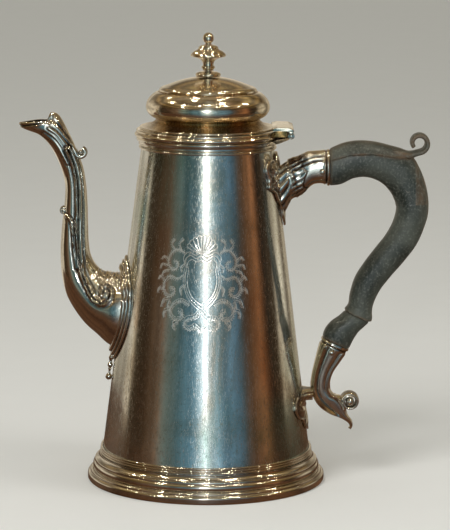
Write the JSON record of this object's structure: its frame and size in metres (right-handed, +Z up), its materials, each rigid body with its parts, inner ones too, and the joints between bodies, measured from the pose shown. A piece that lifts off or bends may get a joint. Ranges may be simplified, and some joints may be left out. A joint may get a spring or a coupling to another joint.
{
  "type": "coffee pot",
  "caption": "Tapering silver coffee pot with a hinged domed lid, swan-neck spout, moulded foot and double-scroll wooden handle.",
  "frame": {"origin": "centre of the base plate's underside, on the surface the pot stands on and on the axis of its body", "axes": "+Z up along the body's axis, +X towards the handle, -X towards the spout, +Y completes a right-handed set"},
  "size_m": [0.2167, 0.1274, 0.24],
  "materials": {
    "silver_body": "worn polished silver with fine scratches",
    "silver_mouldings": "polished silver, darker in the recesses",
    "silver_castings": "polished cast silver, tarnished in the recesses",
    "silver_lid": "polished silver with a warm patina",
    "ebonised_wood": "satin ebonised hardwood with worn brown edges"
  },
  "bodies": {
    "pot": {"body_barrel": "silver_body", "base_plate": "silver_body", "foot_moulding": "silver_mouldings", "foot_reed_wire": "silver_mouldings", "rim_moulding": "silver_mouldings", "rim_bead": "silver_mouldings", "spout": "silver_castings", "spout_collar": "silver_castings", "spout_back_curl": "silver_castings", "spout_front_curl": "silver_castings", "spout_drop": "silver_castings", "upper_socket": "silver_castings", "upper_socket_leaf": "silver_castings", "upper_socket_pin": "silver_castings", "handle_grip": "ebonised_wood", "lower_socket": "silver_castings", "lower_volute": "silver_castings", "lower_strut": "silver_castings", "lower_shield": "silver_castings", "lower_socket_pin": "silver_castings", "hinge_body_leaf": "silver_mouldings", "hinge_pin": "silver_mouldings"},
    "lid": {"hinge_lid_leaf": "silver_mouldings", "lid_flange": "silver_lid", "lid_bezel": "silver_lid", "lid_dome": "silver_lid", "finial_collar": "silver_lid", "finial_knop": "silver_lid", "finial_nut": "silver_lid"}
  },
  "joints": [
    {"name": "lid_hinge", "type": "hinge", "parent": "pot", "child": "lid", "pos_m": [0.0439, 0, 0.1872], "axis": [0, 1, 0], "range_deg": [0, 105]}
  ]
}
